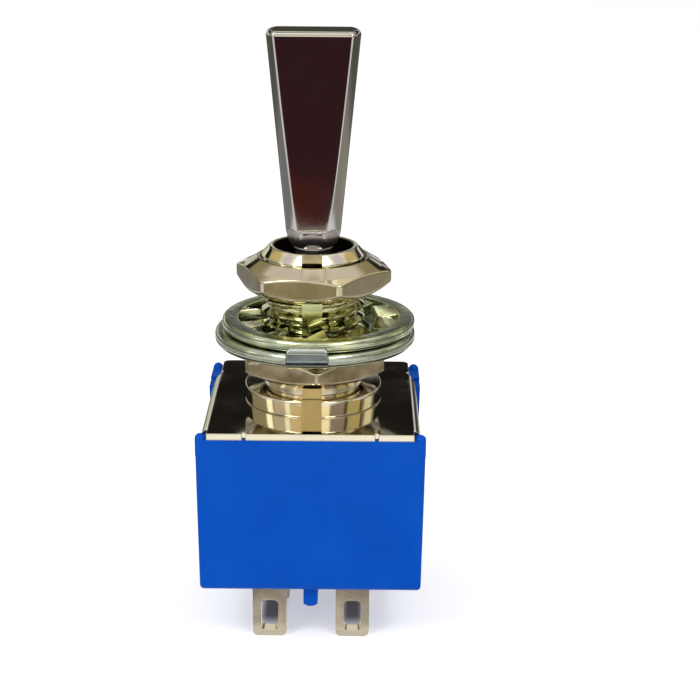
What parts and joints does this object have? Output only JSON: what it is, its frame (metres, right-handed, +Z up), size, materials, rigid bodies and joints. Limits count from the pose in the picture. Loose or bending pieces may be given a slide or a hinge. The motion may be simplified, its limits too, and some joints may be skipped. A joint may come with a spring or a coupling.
{
  "type": "panel toggle switch",
  "caption": "Miniature double-pole panel toggle switch: flat lever in a threaded bushing with nuts and washers, over a blue case with slotted solder lugs.",
  "frame": {"origin": "on the bushing's axis, in the plane of the lug tips that the switch stands on", "axes": "+Z up the bushing's axis to the lever's tip, +X across the two poles, the lever swings along Y and the keyway faces -Y"},
  "size_m": [0.013, 0.0132, 0.0346],
  "materials": {
    "blue_case": "moulded semi-gloss thermoset plastic",
    "frame_steel": "bright nickel-plated sheet steel",
    "nickel_brass": "bright nickel-plated turned brass",
    "nickel_nut": "bright nickel-plated brass",
    "zinc_yellow": "zinc-plated steel, yellow-green passivated",
    "zinc_ring": "zinc-plated steel, passivated",
    "lever_chrome": "bright chrome on turned and milled brass",
    "pin_steel": "ground steel",
    "nylon": "natural nylon",
    "acetal": "natural acetal",
    "spring_steel": "drawn spring wire",
    "contact_brass": "stamped brass",
    "silver": "fine silver",
    "tinned_brass": "dull tinned brass"
  },
  "bodies": {
    "housing": {"case": "blue_case", "frame": "frame_steel", "bushing": "nickel_brass", "left_common": "tinned_brass", "right_common": "tinned_brass", "left_front_terminal": "tinned_brass", "right_front_terminal": "tinned_brass", "left_rear_terminal": "tinned_brass", "right_rear_terminal": "tinned_brass", "left_front_contact": "silver", "right_front_contact": "silver", "left_rear_contact": "silver", "right_rear_contact": "silver"},
    "lever": {"lever": "lever_chrome", "pivot_pin": "pin_steel", "carrier": "nylon", "left_spring": "spring_steel", "right_spring": "spring_steel"},
    "left_plunger": {"left_plunger": "acetal"},
    "right_plunger": {"right_plunger": "acetal"},
    "left_rocker": {"left_rocker": "contact_brass"},
    "right_rocker": {"right_rocker": "contact_brass"},
    "front_nut": {"front_nut": "nickel_nut"},
    "rear_hardware": {"rear_nut": "nickel_nut", "locating_ring": "zinc_ring", "lock_washer": "zinc_yellow"}
  },
  "joints": [
    {"name": "lever_tilt", "type": "hinge", "parent": "housing", "child": "lever", "pos_m": [0, 0, 0.01928], "axis": [1, 0, 0], "range_deg": [-12.5, 12.5]},
    {"name": "left_rocker_tilt", "type": "hinge", "parent": "housing", "child": "left_rocker", "pos_m": [-0.00242, 0, 0.00637], "axis": [1, 0, 0], "range_deg": [-7, 7]},
    {"name": "right_rocker_tilt", "type": "hinge", "parent": "housing", "child": "right_rocker", "pos_m": [0.00242, 0, 0.00637], "axis": [1, 0, 0], "range_deg": [-7, 7]},
    {"name": "left_plunger_slide", "type": "slide", "parent": "lever", "child": "left_plunger", "axis": [0, 0, 1], "range_m": [0, 0.0005], "stiffness_N_per_m": 400, "deforming": ["left_spring"]},
    {"name": "right_plunger_slide", "type": "slide", "parent": "lever", "child": "right_plunger", "axis": [0, 0, 1], "range_m": [0, 0.0005], "stiffness_N_per_m": 400, "deforming": ["right_spring"]},
    {"name": "front_nut_travel", "type": "slide", "parent": "housing", "child": "front_nut", "axis": [0, 0, 1], "range_m": [-0.00071, 0.016]},
    {"name": "rear_nut_travel", "type": "slide", "parent": "housing", "child": "rear_hardware", "axis": [0, 0, 1], "range_m": [-0.0004, 0.00071]}
  ],
  "couplings": [
    {"joint": "left_rocker_tilt", "follows": "lever_tilt", "ratio": -0.56},
    {"joint": "right_rocker_tilt", "follows": "lever_tilt", "ratio": -0.56}
  ]
}
